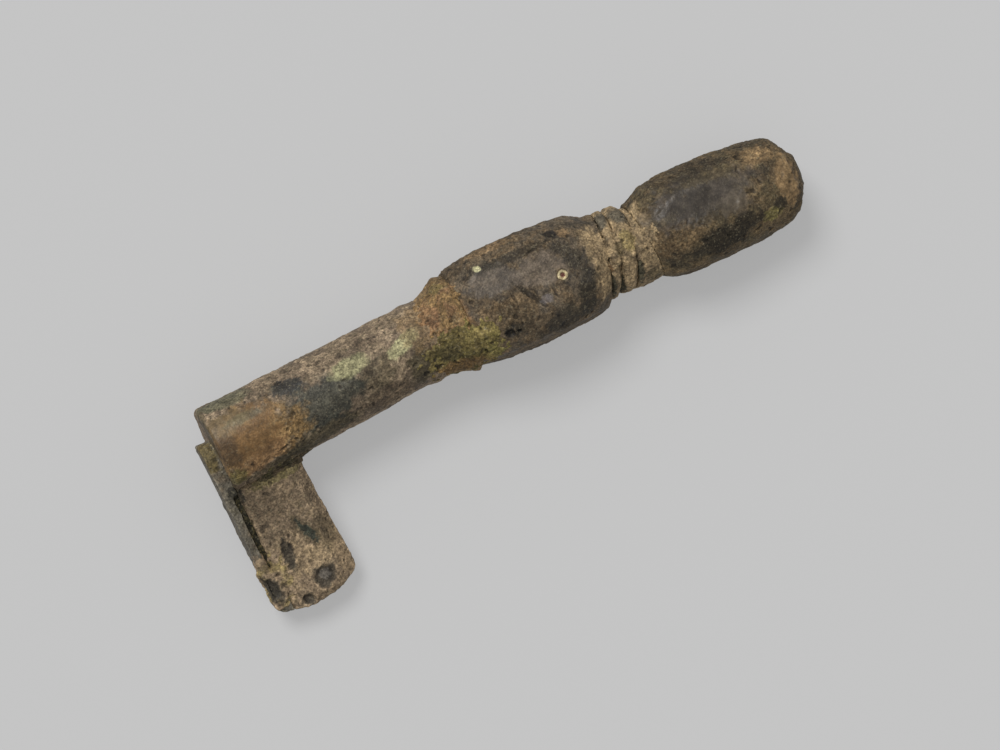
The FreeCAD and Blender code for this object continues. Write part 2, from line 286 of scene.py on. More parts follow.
class Patina:
    """Finish of old bronze, laid on in layers that each change its colour, gloss and relief."""

    def __init__(self, name, shade, roughness):
        self.material = bpy.data.materials.new(name)
        self.material.use_nodes = True
        self.tree = self.material.node_tree
        self.shader = self.tree.nodes["Principled BSDF"]
        self.place = self.add("ShaderNodeTexCoord").outputs["Object"]
        self.cloud_nodes = {}
        self.shade = self.steady("ShaderNodeRGB", shade)
        self.roughness = self.steady("ShaderNodeValue", roughness)
        self.relief = self.steady("ShaderNodeValue", 1.0)

    def add(self, kind, *inputs, **settings):
        """A new node with its settings, and its first inputs as values or as what feeds them."""
        node = self.tree.nodes.new(kind)
        for key, value in settings.items():
            setattr(node, key, value)
        for socket, value in zip(node.inputs, inputs):
            if isinstance(value, bpy.types.NodeSocket):
                self.tree.links.new(value, socket)
            elif value is not None:
                socket.default_value = value
        return node

    def steady(self, kind, value):
        """Output of a node that holds one value."""
        output = self.add(kind).outputs[0]
        output.default_value = value
        return output

    def maths(self, operation, first, second):
        """Two values put together by an operation."""
        return self.add("ShaderNodeMath", first, second, operation=operation).outputs[0]

    def clouds(self, size, shift=0.0, detail=4.0):
        """Noise from 0 to 1 with clumps of a size in millimetres. A shift gives other clumps."""
        key = (size, shift, detail)
        if key not in self.cloud_nodes:
            node = self.add("ShaderNodeTexNoise", self.place, noise_dimensions="4D")
            node.inputs["W"].default_value = shift
            node.inputs["Scale"].default_value = 1 / (size * MM)
            node.inputs["Detail"].default_value = detail
            self.cloud_nodes[key] = node.outputs["Fac"]
        return self.cloud_nodes[key]

    def grains(self, size):
        """Irregular grains of a size in millimetres, each with its own value from 0 to 1."""
        node = self.add("ShaderNodeTexVoronoi", self.place)
        node.inputs["Scale"].default_value = 1 / (size * MM)
        return self.add("ShaderNodeSeparateColor", node.outputs["Color"]).outputs[0]

    def step(self, value, low, high, least, most):
        """Soft step of a value, from least at low to most at high."""
        limits = (value, low, high, least, most)
        node = self.add("ShaderNodeMapRange", *limits, interpolation_type="SMOOTHSTEP")
        return node.outputs["Result"]

    def attribute(self, name):
        """Value that the mesh holds at each point."""
        return self.add("ShaderNodeAttribute", attribute_name=name).outputs["Fac"]

    def mixed(self, mask, under, over):
        """One value over another where a mask is 1."""
        return self.add("ShaderNodeMix", mask, None, under, over).outputs["Result"]

    def lay(self, mask, shade, roughness=None, relief=None):
        """Cover the finish with another colour, gloss and relief where a mask is 1."""
        mix = self.add("ShaderNodeMix", mask, data_type="RGBA")
        self.tree.links.new(self.shade, mix.inputs["A"])
        mix.inputs["B"].default_value = shade
        self.shade = next(socket for socket in mix.outputs if socket.type == "RGBA")
        if roughness is not None:
            self.roughness = self.mixed(mask, self.roughness, roughness)
        if relief is not None:
            self.relief = self.mixed(mask, self.relief, relief)

    def mottle(self, size, share, shade, strength, shift=0.0):
        """Cloudy patches all over, which cover about a share of the piece."""
        level = 0.5 + (0.5 - share) * cloud_spread
        edges = (level - mottle_edge, level + mottle_edge)
        self.lay(self.step(self.clouds(size, shift), *edges, least=0.0, most=strength), shade)

    def crusted(self, shade, strength):
        """Crust colour and dullness where the mesh carries crust."""
        cover = self.step(self.attribute("crust"), *mesh_range, least=0.0, most=strength)
        self.lay(cover, shade, crust_roughness, relief=1.0)

    def stain(self, place, shade, strength, roughness=None, relief=None, ragged=0.9, edge=0.25):
        """A patch of colour with a ragged edge at a mark."""
        middle, turn, reach = place
        local = self.add("ShaderNodeMapping", self.place, vector_type="TEXTURE")
        local.inputs["Location"].default_value = middle
        local.inputs["Rotation"].default_value = turn.to_euler()
        local.inputs["Scale"].default_value = reach
        length = self.add("ShaderNodeVectorMath", local.outputs[0], operation="LENGTH")
        is_small = min(reach.x, reach.y) < small_mark * MM
        edge_clouds = self.clouds(small_edge_size if is_small else wide_edge_size, shift=2.0)
        raggedness = self.maths("MULTIPLY", edge_clouds, ragged * 2)
        edge_distance = self.maths("ADD", length.outputs["Value"], raggedness)
        mask = self.step(edge_distance, 1 + ragged - edge, 1 + ragged + edge, strength, 0.0)
        self.lay(mask, shade, roughness, relief)

    def brighten(self, factor):
        """Make the colour lighter or darker by a factor."""
        scale = self.add("ShaderNodeVectorMath", self.shade, operation="SCALE")
        self.tree.links.new(factor, scale.inputs["Scale"])
        self.shade = scale.outputs["Vector"]

    def finish(self):
        """Grains and specks, painted shade in the hollows and painted light on the ridges, darker
        pits and fine relief, then the shader.
        """
        broad = self.clouds(3.2, shift=9.0, detail=2.0)
        self.brighten(self.step(broad, *cloud_range, least=0.78, most=1.25))
        close = self.clouds(0.9, shift=10.0, detail=3.0)
        self.brighten(self.step(close, *cloud_range, least=0.74, most=1.26))
        fine = self.clouds(0.2, shift=4.0, detail=2.0)
        specks = self.step(fine, *cloud_range, least=1 - speck, most=1 + speck)
        grains = self.step(self.grains(0.2), 0.0, 1.0, least=1 - speck, most=1 + speck)
        self.brighten(self.mixed(self.relief, 1.0, self.maths("MULTIPLY", specks, grains)))
        rare = self.clouds(0.22, shift=12.0, detail=2.0)
        minerals = self.step(rare, low=0.56, high=0.7, least=0.0, most=0.32)
        self.lay(self.maths("MULTIPLY", minerals, self.relief), mineral_grey)
        # Pointiness paints shade into the hollows and light onto the ridges.
        pointed = self.add("ShaderNodeNewGeometry").outputs["Pointiness"]
        self.brighten(self.step(pointed, low=0.44, high=0.56, least=0.6, most=1.25))
        self.brighten(self.step(self.attribute("pit"), *mesh_range, least=1.0, most=0.55))
        self.tree.links.new(self.shade, self.shader.inputs["Base Color"])
        self.tree.links.new(self.roughness, self.shader.inputs["Roughness"])
        self.shader.inputs["Metallic"].default_value = metal_share
        self.shader.inputs["Specular IOR Level"].default_value = gloss
        height = self.maths("ADD", self.clouds(0.2, shift=6.0), self.clouds(0.6, shift=8.0))
        bump = self.add("ShaderNodeBump")
        bump.inputs["Distance"].default_value = relief_depth * MM
        self.tree.links.new(self.relief, bump.inputs["Strength"])
        self.tree.links.new(height, bump.inputs["Height"])
        self.tree.links.new(bump.outputs["Normal"], self.shader.inputs["Normal"])
        return self.material


def put_in_place(piece, finish, node=None):
    """Give a piece its finish and, where a CAD solid is named, let it stand for that."""
    piece.data.materials.append(finish)
    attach(piece, "root")
    if node is not None:
        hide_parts(node)


mineral_grey = colour(150, 140, 114)
pinkish_brown = colour(118, 102, 84)
umber = colour(72, 60, 46)
dusty = colour(150, 132, 107)
dark_olive = colour(56, 51, 33)
ochre = colour(103, 77, 47)
wax_highlight_ochre = colour(118, 101, 72)
crumbly_ochre = colour(132, 105, 66)
slate = colour(60, 61, 53)
blue_black = colour(40, 44, 44)
pale_green = colour(152, 148, 112)
grey_green = colour(96, 94, 72)
neck_tan = colour(124, 100, 66)
warm_brown = colour(124, 94, 68)
dull_olive = colour(104, 97, 56)

# A mark has a pixel of the view, half sizes in pixels and a turn in degrees. A mottle has a
# size in millimetres, a share of the piece, a colour and a strength. A stain has a mark, a
# colour and a strength, then a roughness and a relief where they differ.
waxy_end = mark("shank", (248, 434), (36, 31), 25)
wax_rim = mark("shank", (292, 440), (20, 32), 20)
slate_patch = mark("shank", (322, 403), (54, 24), 27)

shank = worn_copy("shank", grid=0.14, soften=6)
corrode(shank, plump=0.05, crust_share=0.45, calm=(waxy_end,), crumbly=(wax_rim,))
shank_finish = Patina("patina_of_shank", pinkish_brown, 0.65)
shank_finish.mottle(2.4, 0.35, umber, 0.6)
shank_finish.mottle(0.9, 0.35, dusty, 0.55, 3.0)
shank_finish.mottle(0.6, 0.3, dark_olive, 0.45, 5.0)
shank_finish.crusted(dusty, 0.3)
shank_finish.stain(mark("shank", (222, 402), (28, 11), 27), grey_green, 0.8, 0.55)
shank_finish.stain(mark("shank", (425, 366), (20, 22), 0), dark_olive, 0.8)
shank_finish.stain(mark("shank", (378, 374), (24, 15), 27), dark_olive, 0.6)
shank_finish.stain(mark("shank", (322, 434), (50, 12), 27), dark_olive, 0.8)
shank_finish.stain(mark("shank", (388, 396), (34, 10), 27), umber, 0.7)
shank_finish.stain(slate_patch, slate, 0.88, 0.55, 1.0)
shank_finish.stain(mark("shank", (286, 387), (18, 8), 20), blue_black, 0.8, 0.45)
shank_finish.stain(mark("shank", (262, 446), (52, 38), 27), crumbly_ochre, 0.85, 0.8, 1.0)
shank_finish.stain(mark("shank", (262, 458), (30, 12), 35), warm_brown, 0.5, 0.8, 1.0)
shank_finish.stain(waxy_end, ochre, 0.85, 0.4, 0.45, ragged=1.2, edge=0.4)
# A painted highlight lightens the waxy end.
shank_finish.stain(mark("shank", (226, 424), (24, 12), 27), wax_highlight_ochre, 0.65, 0.36, 0.35)
shank_finish.stain(mark("shank", (242, 418), (20, 5), 27), grey_green, 0.45, 0.4, 0.5)
shank_finish.stain(mark("shank", (228, 452), (12, 14), 20), umber, 0.5)
shank_finish.stain(mark("shank", (206, 430), (5, 32), 24), dark_olive, 0.7)
shank_finish.stain(mark("shank", (238, 478), (12, 8), 30), dull_olive, 0.7)
shank_finish.stain(mark("shank", (283, 460), (30, 6), 27), dark_olive, 0.7)
for pixel, half_size, turn in (((349, 367), (21, 10), 30), ((403, 344), (20, 8), 50)):
    green_place = mark("shank", pixel, half_size, turn)
    shank_finish.stain(green_place, pale_green, 0.85, 0.85, 1.0, ragged=0.6)
shank_finish.stain(mark("shank", (420, 324), (22, 32), 27), neck_tan, 0.45)
shank_finish.stain(mark("shank", (432, 322), (14, 30), 27), neck_tan, 0.6)
put_in_place(shank, shank_finish.finish(), "shank")


# Bit
# The flat bronze block that turns the lock, seated over the shank. It is sandy and pitted,
# with a bevelled inner edge, and dark hollows on its broad face. A painted highlight lights
# the middle of one hollow, and painted shade blackens the crevice under the end of the shank.
sandy_tan = colour(133, 115, 93)
dull_brown = colour(96, 82, 64)
pale_sand = colour(158, 137, 106)
khaki = colour(136, 121, 76)
dark_hollow = colour(58, 53, 45)
crater_highlight_grey = colour(108, 102, 94)
blue_green = colour(48, 56, 48)
crevice_shade_black = colour(34, 32, 24)
bevel_tan = colour(142, 122, 95)

crater = mark("bit_block", (325, 574), (12, 12), depth=0.8)
lens_hollow = mark("bit_end_plate", (273, 590), (19, 8), -56, depth=1.2)
long_hollow = mark("bit_block", (288, 554), (19, 6), -68, depth=0.8)
green_hollow = mark("bit_block", (307, 531), (21, 4), -42, depth=0.8)
edge_notch = mark("bit_block", (309, 599), (7, 6), depth=1.2)
bit_dents = (
    (crater, 0.3),
    (lens_hollow, 0.3),
    (long_hollow, 0.16),
    (green_hollow, 0.12),
    (edge_notch, 0.3),
)

bit = worn_copy("bit_block", soften=6)
corrode(bit, crust_share=0.55, dents=bit_dents)
bit_finish = Patina("patina_of_bit", sandy_tan, 0.75)
bit_finish.mottle(2.0, 0.28, dull_brown, 0.5)
bit_finish.mottle(0.8, 0.35, pale_sand, 0.55, 3.0)
bit_finish.mottle(0.5, 0.3, dark_olive, 0.4, 5.0)
bit_finish.stain(mark("bit_block", (338, 545), (46, 8), -63), bevel_tan, 0.7)
bit_finish.stain(mark("bit_block", (268, 500), (30, 18), 20), dull_brown, 0.55)
bit_finish.stain(mark("bit_block", (290, 562), (32, 22), 20), pale_sand, 0.45)
bit_finish.stain(mark("bit_block", (322, 551), (14, 12), 0), pale_sand, 0.6)
# Painted shade blackens the crevice under the end of the shank.
bit_finish.stain(mark("bit_block", (240, 496), (10, 4), -64), crevice_shade_black, 0.85)
bit_finish.stain(mark("bit_block", (272, 562), (10, 10), 0), khaki, 0.6)
bit_finish.stain(mark("bit_block", (334, 593), (26, 6), 25), dull_brown, 0.8)
bit_finish.stain(mark("bit_block", (240, 518), (32, 4), -64), dark_olive, 0.85)
bit_finish.stain(mark("bit_block", (254, 560), (22, 4), -64), dark_olive, 0.7)
bit_finish.stain(mark("bit_block", (326, 532), (9, 20), 30), dark_olive, 0.4)
bit_finish.stain(crater, dark_hollow, 0.9)
# A painted highlight lightens the middle of the crater.
bit_finish.stain(mark("bit_block", (325, 573), (5, 5)), crater_highlight_grey, 0.7)
bit_finish.stain(lens_hollow, dark_hollow, 0.9)
bit_finish.stain(long_hollow, dark_hollow, 0.9)
bit_finish.stain(mark("bit_block", (307, 531), (24, 8), -42), dark_olive, 0.5)
bit_finish.stain(green_hollow, blue_green, 0.85, ragged=1.4)
bit_finish.stain(edge_notch, dark_hollow, 0.9)
bit_finish.stain(mark("bit_block", (280, 474), (34, 6), 27), dull_olive, 0.6)
put_in_place(bit, bit_finish.finish(), "bit_block")


# Plate at the end of the bit
# A thin bronze plate over the outer end, with a narrow slit behind it. It is worn grey, and
# olive corrosion covers the corner where it meets the shank. Painted shade blackens the
# crevice under the end of the shank.
worn_grey = colour(101, 95, 83)
olive_brown = colour(92, 80, 48)

plate = worn_copy("bit_end_plate", grid=0.11)
corrode(plate, swell=0.07, crust_share=0.4, dents=((lens_hollow, 0.3),))
plate_finish = Patina("patina_of_end_plate", worn_grey, 0.65)
plate_finish.mottle(1.6, 0.3, dull_brown, 0.6)
plate_finish.mottle(0.6, 0.3, dark_olive, 0.5, 5.0)
plate_finish.stain(mark("bit_end_plate", (207, 458), (18, 10), -64), olive_brown, 0.85)
plate_finish.stain(mark("bit_end_plate", (262, 572), (20, 6), -64), sandy_tan, 0.6)
# Painted shade blackens the crevice under the end of the shank.
plate_finish.stain(mark("bit_end_plate", (236, 492), (7, 9), -64), crevice_shade_black, 0.8)
plate_finish.stain(lens_hollow, dark_hollow, 0.9)
put_in_place(plate, plate_finish.finish(), "bit_end_plate")


# Earth in the slit
# Packed earth and green corrosion that fill the slit between the plate and the block to
# half a millimetre under their faces, so that no light comes through.
bit_slope = math.radians(13.8)
slit_size = Vector((0.74, 10.3, 1.5)) * MM
slit_middle = Vector((-36.82, -2.79, 5.2)) * MM
clod_size = 0.5
crumb_size = 0.22
crumb_share = 0.5
clod_height = 0.22
earth_dark = colour(40, 38, 28)

bpy.ops.object.select_all(action="DESELECT")
bpy.ops.mesh.primitive_cube_add(size=1.0, location=slit_middle)
earth = bpy.context.object
earth.name = "slit_earth"
bpy.ops.object.mode_set(mode="EDIT")
bpy.ops.transform.resize(value=slit_size)
bpy.ops.transform.rotate(value=-bit_slope, orient_axis="X", center_override=slit_middle)
bpy.ops.mesh.subdivide(number_cuts=7)
bpy.ops.mesh.subdivide(number_cuts=3)
bpy.ops.object.mode_set(mode="OBJECT")
bpy.ops.object.transform_apply(location=True, rotation=True, scale=True)
for vertex in earth.data.vertices:
    clods = lumps(vertex.co, clod_size) + crumb_share * lumps(vertex.co, crumb_size)
    vertex.co.z += clods * clod_height * MM
bpy.ops.object.shade_smooth()
earth_finish = Patina("packed_earth", earth_dark, 0.9)
earth_finish.mottle(0.7, 0.4, dark_olive, 0.8)
earth_finish.mottle(0.4, 0.25, khaki, 0.5, 3.0)
put_in_place(earth, earth_finish.finish())


# Neck collar
# The flared bronze neck between the shank and the grip, threaded on the tang. Its flare has
# an ochre crust that turns olive on the lower side.
pale_tan = colour(150, 129, 90)

collar = worn_copy("grip_collar", soften=20)
corrode(collar, crust_share=0.55)
collar_finish = Patina("patina_of_collar", neck_tan, 0.7)
collar_finish.mottle(1.4, 0.35, dull_brown, 0.6)
collar_finish.mottle(0.7, 0.3, pale_tan, 0.5, 3.0)
collar_finish.mottle(0.5, 0.25, dark_olive, 0.5, 5.0)
collar_finish.stain(mark("grip_collar", (428, 318), (12, 18), 20), warm_brown, 0.7)
collar_finish.stain(mark("grip_collar", (444, 350), (22, 22), 0), dull_olive, 0.8)
put_in_place(collar, collar_finish.finish(), "grip_collar")


# Grip
# The large bronze pod that the fingers hold, threaded on the tang, with four shallow facets
# filed on a turned form. Its skin is dark and half smooth above, grainy brown and olive below,
# with a painted highlight on a ridge between the facets.
grey_brown = colour(88, 77, 62)
dark_brown = colour(52, 45, 35)
crust_brown = colour(102, 84, 60)
facet_grey = colour(108, 96, 83)
shade_grey = colour(92, 83, 73)
# Soot dark, which is also laid as painted shade along the lower side of the knob.
soot_and_shade = colour(43, 38, 28)
ridge_glint_grey = colour(138, 130, 130)
olive_yellow = colour(92, 83, 47)
burnt_orange = colour(118, 88, 56)
black = colour(22, 19, 17)
band_tan = colour(126, 103, 74)
sand = colour(152, 131, 99)
lichen = colour(178, 172, 132)

left_facet = mark("baluster_grip", (492, 281), (28, 15), 25)
right_facet = mark("baluster_grip", (541, 270), (30, 16), 25)
black_pit = mark("baluster_grip", (510, 333), (6, 4), 10, depth=1.0)
next_pit = mark("baluster_grip", (519, 330), (3, 2), 10, depth=1.0)
crease = mark("baluster_grip", (452, 312), (25, 2.6), -57, depth=1.0)
scratch = mark("baluster_grip", (532, 296), (23, 3), -33, depth=1.0)
dark_spot = mark("baluster_grip", (550, 235), (8, 4), 0, depth=1.0)
grip_dents = ((black_pit, 0.3), (next_pit, 0.2), (crease, 0.2), (scratch, 0.14), (dark_spot, 0.18))

grip_crumbs = mark("baluster_grip", (508, 318), (38, 18), 20)
grip = worn_copy("baluster_grip", soften=25)
corrode(
    grip, plump=0.12, crust_share=0.55, dents=grip_dents,
    calm=(left_facet, right_facet), crumbly=(grip_crumbs,),
)
grip_finish = Patina("patina_of_grip", grey_brown, 0.6)
grip_finish.mottle(2.6, 0.4, dark_brown, 0.65)
grip_finish.mottle(0.9, 0.35, crust_brown, 0.55, 3.0)
grip_finish.mottle(0.5, 0.3, soot_and_shade, 0.45, 5.0)
grip_finish.crusted(crust_brown, 0.3)
grip_finish.stain(mark("baluster_grip", (601, 258), (15, 48), 18), sand, 0.8, 0.75)
grip_finish.stain(mark("baluster_grip", (441, 294), (12, 12), 0), neck_tan, 0.7)
grip_finish.stain(mark("baluster_grip", (465, 316), (20, 14), -57), burnt_orange, 0.6)
grip_finish.stain(mark("baluster_grip", (458, 308), (26, 7), -57), dark_brown, 0.75)
grip_finish.stain(crease, dark_brown, 0.8)
grip_finish.stain(left_facet, shade_grey, 0.75, 0.45, 0.6)
grip_finish.stain(right_facet, facet_grey, 0.65, 0.45, 0.6)
grip_finish.stain(mark("baluster_grip", (506, 259), (46, 5), 25), soot_and_shade, 0.75)
grip_finish.stain(mark("baluster_grip", (574, 258), (26, 9), -30), soot_and_shade, 0.8, 0.5)
grip_finish.stain(mark("baluster_grip", (588, 292), (9, 28), 0), soot_and_shade, 0.8, 0.5)
grip_finish.stain(mark("baluster_grip", (566, 318), (26, 12), 32), soot_and_shade, 0.75, 0.5)
grip_finish.stain(mark("baluster_grip", (508, 313), (36, 15), 20), crust_brown, 0.6, 0.85, 1.0)
grip_finish.stain(mark("baluster_grip", (476, 343), (40, 17), 24), olive_yellow, 0.85, 0.85, 1.0)
grip_finish.stain(mark("baluster_grip", (482, 334), (16, 7), 24), lichen, 0.3, 0.85, 1.0)
grip_finish.stain(mark("baluster_grip", (452, 364), (16, 6), 22), burnt_orange, 0.8)
grip_finish.stain(mark("baluster_grip", (487, 249), (28, 4), 26), band_tan, 0.75)
grip_finish.stain(mark("baluster_grip", (562, 233), (7, 4), 0), band_tan, 0.8)
grip_finish.stain(scratch, dark_brown, 0.8)
# A painted highlight on the ridge between the facets.
grip_finish.stain(mark("baluster_grip", (547, 299), (7, 4), 20), ridge_glint_grey, 0.35, 0.4, 0.4)
grip_finish.stain(mark("baluster_grip", (563, 274.5), (7, 7)), pale_tan, 0.7)
grip_finish.stain(mark("baluster_grip", (476.5, 269), (4, 3)), lichen, 0.9, ragged=0.4)
grip_finish.stain(dark_spot, black, 0.8)
grip_finish.stain(mark("baluster_grip", (513, 319), (27, 12), 20), soot_and_shade, 0.45)
grip_finish.stain(mark("baluster_grip", (514, 331), (12, 7), 20), soot_and_shade, 0.6)
grip_finish.stain(black_pit, black, 0.8)
grip_finish.stain(next_pit, black, 0.7)
put_in_place(grip, grip_finish.finish(), "baluster_grip")


# Pin
# The rusted end of a small iron pin through the grip and the tang, with a pale ring of
# corrosion round a dark red middle.
rust_red = colour(112, 70, 60)
ring_pale = colour(184, 170, 134)
end_depth = 0.7
bloom_radius = 0.44
bloom_thickness = 0.17
bloom_lump_size = 0.35
bloom_lump_height = 0.07

pin_middle = mark("grip_pin", (562.8, 274.4), (2.8, 2.8), depth=0.6)
pin = worn_copy("grip_pin", grid=0.1, soften=2)
corrode(pin, swell=0.02, grain=0.02, crust=0.0, pit=0.03, dents=((pin_middle, 0.04),))
pin_finish = Patina("rust_of_pin", ring_pale, 0.75)
pin_finish.mottle(0.5, 0.3, sandy_tan, 0.5)
pin_finish.stain(pin_middle, rust_red, 1.0, ragged=0.3)
put_in_place(pin, pin_finish.finish(), "grip_pin")

pin_points = [vertex.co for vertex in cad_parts["grip_pin"].data.vertices]
pin_top = max(point.z for point in pin_points)
pin_bottom = min(point.z for point in pin_points)
head_points = [point for point in pin_points if point.z > pin_top - end_depth * MM]
foot_points = [point for point in pin_points if point.z < pin_bottom + end_depth * MM]
head = sum(head_points, Vector()) / len(head_points)
foot = sum(foot_points, Vector()) / len(foot_points)
bpy.ops.object.select_all(action="DESELECT")
bpy.ops.mesh.primitive_torus_add(
    location=head,
    rotation=(head - foot).to_track_quat("Z", "Y").to_euler(),
    major_radius=bloom_radius * MM,
    minor_radius=bloom_thickness * MM,
    major_segments=64,
    minor_segments=24,
)
bloom = bpy.context.object
bloom.name = "pin_bloom"
bpy.ops.object.transform_apply(location=True, rotation=True, scale=True)
for vertex in bloom.data.vertices:
    vertex.co += vertex.normal * (lumps(vertex.co, bloom_lump_size) * bloom_lump_height * MM)
bpy.ops.object.shade_smooth()
bloom_finish = Patina("bloom_of_pin", ring_pale, 0.85)
bloom_finish.mottle(0.4, 0.35, pale_tan, 0.6)
put_in_place(bloom, bloom_finish.finish())


# Bead rings
# Two worn bronze beads between dark grooves, threaded askew on the tang. They are sandy, with
# dark tops, and the grooves on their lower side are black green with painted shade.
ring_sand = colour(138, 119, 90)
groove_shade_green = colour(42, 44, 34)
ring_soot = colour(70, 68, 60)

dark_marks_on = {
    "bead_ring_1": (((598, 222), (10, 9), 20), ((612, 286), (18, 5), -80)),
    "bead_ring_2": (((618, 215), (12, 9), 0), ((620, 284), (20, 6), -80)),
}
bead_rings = []
for node, dark_marks in dark_marks_on.items():
    bead = worn_copy(node, grid=0.12, soften=18)
    corrode(bead, swell=0.12, crust=0.14, crust_share=0.55)
    bead_rings.append(bead)
    bead_finish = Patina("patina_of_" + node, ring_sand, 0.72)
    bead_finish.mottle(1.0, 0.35, dull_brown, 0.6)
    bead_finish.mottle(0.5, 0.3, pale_sand, 0.5, 3.0)
    bead_finish.mottle(0.4, 0.25, dark_olive, 0.6, 5.0)
    top_mark, groove_shade_mark = dark_marks
    bead_finish.stain(mark(node, *top_mark), ring_soot, 0.8)
    # Painted shade in the groove on the lower side.
    bead_finish.stain(mark(node, *groove_shade_mark), groove_shade_green, 0.9)
    put_in_place(bead, bead_finish.finish(), node)


# Waist ring
# A wedge-shaped bronze ring between the beads and the knob, threaded a little off centre.
# Painted shade darkens its lower side.
waist = worn_copy("waist_ring", grid=0.12, soften=18)
corrode(waist, swell=0.12, crust=0.14, crust_share=0.55)
waist_finish = Patina("patina_of_waist", ring_sand, 0.72)
waist_finish.mottle(1.0, 0.4, dull_brown, 0.6)
waist_finish.mottle(0.4, 0.28, dark_olive, 0.6, 5.0)
# Painted shade darkens the groove and the lower side.
waist_finish.stain(mark("waist_ring", (641, 272), (16, 4), -80), groove_shade_green, 0.85)
waist_finish.stain(mark("waist_ring", (655, 274), (10, 8), 0), dark_olive, 0.6)
put_in_place(waist, waist_finish.finish(), "waist_ring")


# Knob
# The faceted bronze barrel that closes the handle, with a blunt domed end. It is dark and
# smooth above with a painted highlight on the right, sandy at its root, crusted brown below
# with painted shade along its lower side, and bare tan on its end.
knob_olive = colour(82, 71, 50)
smooth_dark = colour(66, 60, 54)
knob_sheen_brown = colour(88, 79, 67)
tan = colour(132, 108, 76)

smooth_top = mark("knob_finial", (700, 197), (58, 20), 25, depth=2.5)
small_pit = mark("knob_finial", (652, 258), (3.5, 3.5), 0, depth=0.8)
shoulder = mark("knob_finial", (644, 196), (22, 16), 25, depth=2.5)
domed_end = mark("knob_finial", (796, 172), (22, 40), 12, depth=4.0)
knob_crumbs = mark("knob_finial", (676, 238), (36, 16), 25)
knob_dents = ((small_pit, 0.35), (shoulder, -0.35), (domed_end, -0.35))

knob = worn_copy("knob_finial", soften=110)
corrode(
    knob, plump=0.1, crust_share=0.5, dents=knob_dents,
    calm=(smooth_top,), crumbly=(knob_crumbs,),
)
knob_finish = Patina("patina_of_knob", knob_olive, 0.68)
knob_finish.mottle(2.4, 0.35, dark_brown, 0.65)
knob_finish.mottle(0.9, 0.35, crust_brown, 0.55, 3.0)
knob_finish.mottle(0.5, 0.3, soot_and_shade, 0.45, 5.0)
knob_finish.crusted(crust_brown, 0.35)
# Painted shade darkens the lower side of the knob.
knob_finish.stain(mark("knob_finial", (728, 236), (54, 15), 25), soot_and_shade, 0.9)
knob_finish.stain(mark("knob_finial", (690, 170), (56, 12), 27), dark_brown, 0.6)
knob_finish.stain(mark("knob_finial", (672, 240), (34, 16), 25), crust_brown, 0.6, 0.85, 1.0)
knob_finish.stain(mark("knob_finial", (640, 228), (13, 28), 20), sand, 0.8)
knob_finish.stain(mark("knob_finial", (789, 178), (13, 25), 10), tan, 0.85, 0.6, 0.6)
knob_finish.stain(mark("knob_finial", (757, 155), (18, 11), 20), tan, 0.6)
knob_finish.stain(smooth_top, smooth_dark, 0.9, 0.32, 0.35, ragged=1.0, edge=0.5)
knob_finish.stain(mark("knob_finial", (716, 214), (34, 7), 25), soot_and_shade, 0.6, 0.4, 0.4)
knob_finish.stain(mark("knob_finial", (708, 176), (40, 6), 25), knob_olive, 0.6, 0.7, 0.8)
# A painted highlight lightens the right of the smooth top.
knob_finish.stain(mark("knob_finial", (734, 203), (18, 11), 25), knob_sheen_brown, 0.6, 0.36, 0.2)
knob_finish.stain(mark("knob_finial", (781, 202), (6, 6)), soot_and_shade, 0.9)
knob_finish.stain(mark("knob_finial", (772, 214), (10, 6), 25), dull_olive, 0.7)
knob_finish.stain(small_pit, black, 1.0, ragged=0.4)
put_in_place(knob, knob_finish.finish(), "knob_finial")


# Crust across the seams
# Corrosion has grown over the joints, so that few seams can be seen: tan over the neck,
# olive under it, sandy over the rings and the foot of the bit, and dark olive at its root.
rosy_tan = colour(150, 118, 94)
crust_grid = 0.14
crust_rounds = 16
crust_height = 0.16
crust_depth = 0.15
crust_edges = (1.0, 0.7)
sink_edges = (0.9, 1.25)
sink_depth = 0.35
cut_span = 1.3
edge_lump_size = 0.9
edge_crumb_size = 0.4
edge_crumb_share = 0.6
edge_ragged = 0.4


def crust_over(name, pieces, place):
    """Corrosion that has grown across the seams of several worn pieces, inside a mark."""
    piece = joined_copy(name, pieces, crust_grid)
    piece.vertex_groups.clear()
    is_open = piece.vertex_groups.new(name="open")
    is_open.add([vertex.index for vertex in piece.data.vertices], 1.0, "REPLACE")
    soften_skin(piece, crust_rounds)
    normals = [vertex.normal.copy() for vertex in piece.data.vertices]
    spans = []
    for vertex, normal in zip(piece.data.vertices, normals):
        ragged = lumps(vertex.co, edge_lump_size)
        ragged += edge_crumb_share * lumps(vertex.co, edge_crumb_size)
        span = away(place, vertex.co) + edge_ragged * ragged
        spans.append(span)
        rise = crust_height * ease(*crust_edges, span) - sink_depth * ease(*sink_edges, span)
        vertex.co += normal * rise * MM
    bpy.ops.object.mode_set(mode="EDIT")
    bpy.ops.mesh.select_mode(type="VERT")
    bpy.ops.mesh.select_all(action="DESELECT")
    bpy.ops.object.mode_set(mode="OBJECT")
    for vertex, span in zip(piece.data.vertices, spans):
        vertex.select = span > cut_span
    bpy.ops.object.mode_set(mode="EDIT")
    bpy.ops.mesh.delete(type="VERT")
    bpy.ops.object.mode_set(mode="OBJECT")
    # The hollow in the foot of the bit is sunk into the crust too.
    dents = ((lens_hollow, 0.45),)
    corrode(piece, swell=0.0, grain=0.035, crust_share=0.7, dents=dents, crumbly=(place,))
    shell = piece.modifiers.new("crust_depth", "SOLIDIFY")
    shell.thickness = crust_depth * MM
    shell.offset = -1.0
    bpy.ops.object.modifier_apply(modifier=shell.name)
    return piece


